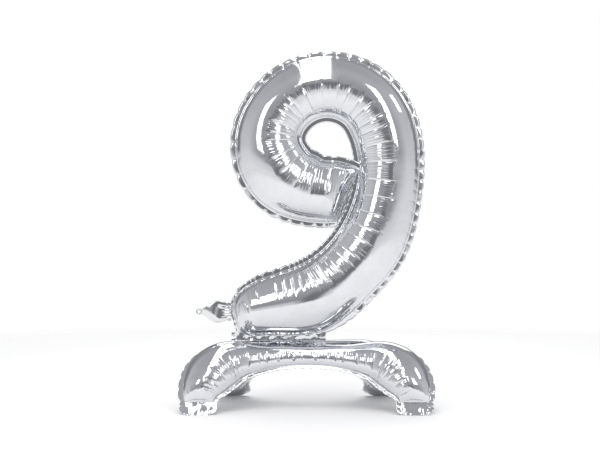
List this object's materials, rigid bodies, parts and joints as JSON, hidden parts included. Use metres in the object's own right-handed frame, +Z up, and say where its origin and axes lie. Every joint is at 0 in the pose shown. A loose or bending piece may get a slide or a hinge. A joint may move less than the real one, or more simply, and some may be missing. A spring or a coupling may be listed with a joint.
{
  "type": "foil number balloon",
  "caption": "Standing inflated foil number nine on its own two-arch inflated base, with welded seam margins and filler necks.",
  "frame": {"origin": "centre of the bounding box, on the floor the feet stand on", "axes": "+Z up; the figure faces -Y; +X is to the right as the figure is read"},
  "size_m": [0.581, 0.3112, 0.8398],
  "materials": {
    "silver_film": "mirror-bright metallised film, puckered along its seams",
    "clear_film": "thin clear film"
  },
  "bodies": {
    "base": {"front_arch_front_film": "silver_film", "front_arch_rear_film": "silver_film", "joining_web_front_film": "silver_film", "joining_web_rear_film": "silver_film"},
    "rear_arch": {"rear_arch_front_film": "silver_film", "rear_arch_rear_film": "silver_film", "base_valve_front_film": "clear_film", "base_valve_rear_film": "clear_film"},
    "figure": {"figure_front_film": "silver_film", "figure_rear_film": "silver_film", "figure_valve_front_film": "clear_film", "figure_valve_rear_film": "clear_film"},
    "figure_neck": {"figure_neck_front_film": "silver_film", "figure_neck_rear_film": "silver_film"},
    "base_neck": {"base_neck_front_film": "silver_film", "base_neck_rear_film": "silver_film"}
  },
  "joints": [
    {"name": "figure_sway", "type": "hinge", "parent": "base", "child": "figure", "pos_m": [0, 0.00133, 0.1655], "axis": [1, 0, 0], "range_deg": [-8, 8], "stiffness_Nm_per_rad": 0.8},
    {"name": "rear_arch_splay", "type": "hinge", "parent": "base", "child": "rear_arch", "pos_m": [0, 0.00433, 0.15], "axis": [1, 0, 0], "range_deg": [-2, 10], "stiffness_Nm_per_rad": 2.5},
    {"name": "figure_neck_flap", "type": "hinge", "parent": "figure", "child": "figure_neck", "pos_m": [-0.1835, 0.00133, 0.22], "axis": [0, 0, 1], "range_deg": [-75, 75]},
    {"name": "base_neck_flap", "type": "hinge", "parent": "rear_arch", "child": "base_neck", "pos_m": [-0.2425, 0.07504, 0.07929], "axis": [0, -0.7071, 0.7071], "range_deg": [-75, 75], "stiffness_Nm_per_rad": 0.003}
  ]
}
